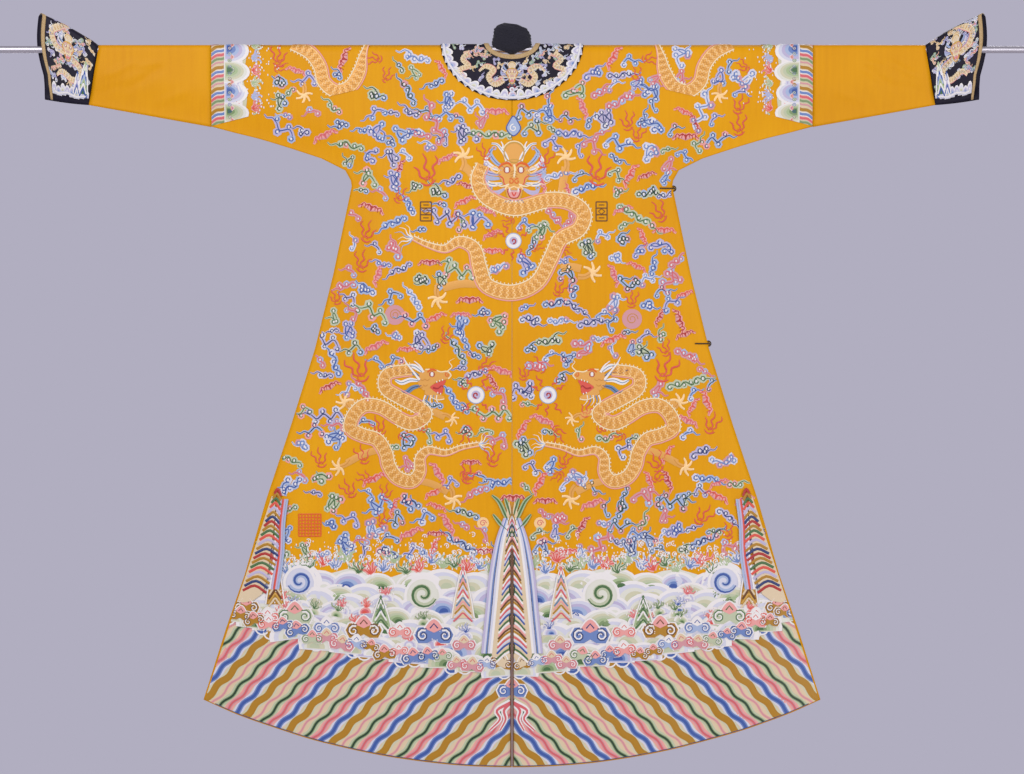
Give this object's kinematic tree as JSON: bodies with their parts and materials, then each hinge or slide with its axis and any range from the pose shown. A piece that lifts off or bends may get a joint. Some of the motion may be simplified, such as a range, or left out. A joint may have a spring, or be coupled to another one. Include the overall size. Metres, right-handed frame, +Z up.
{
  "type": "dragon robe hung on a rod",
  "caption": "Golden-yellow silk dragon robe hung flat on a thin metal rod through its sleeves, seen from the back, with dark horse-hoof cuffs.",
  "frame": {"origin": "on the rod's axis at the middle of the robe, where the rod carries it", "axes": "+X along the rod to the wearer's right, -Y out of the robe's back, +Z up"},
  "size_m": [2.1, 0.048, 1.509],
  "materials": {
    "yellow_silk": "satin weave, embroidered",
    "navy_silk": "satin weave, embroidered",
    "gold_braid": "woven gold braid",
    "brown_cord": "corded silk",
    "dark_cotton": "matt plain weave",
    "gilt_brass": "gilt",
    "rod_metal": "brushed"
  },
  "bodies": {
    "root": {"rod": "rod_metal", "neck_wrap": "dark_cotton", "back_left": "yellow_silk", "back_right": "yellow_silk", "front_left": "yellow_silk", "front_right": "yellow_silk", "front_overlap": "yellow_silk", "sleeve_left": "yellow_silk", "sleeve_right": "yellow_silk", "cuff_left": "navy_silk", "cuff_right": "navy_silk", "cuff_binding_left": "gold_braid", "cuff_binding_right": "gold_braid", "collar_back": "navy_silk", "collar_front_left": "navy_silk", "collar_front_right": "navy_silk", "overlap_band": "navy_silk", "neck_binding_back": "gold_braid", "neck_binding_left": "gold_braid", "neck_binding_right": "gold_braid", "ball_neck": "gilt_brass", "ball_arm": "gilt_brass", "ball_side": "gilt_brass", "loop_neck": "brown_cord", "loop_arm": "brown_cord", "loop_side": "brown_cord", "strap_neck": "brown_cord", "strap_arm": "brown_cord", "strap_side": "brown_cord"}
  },
  "joints": []
}
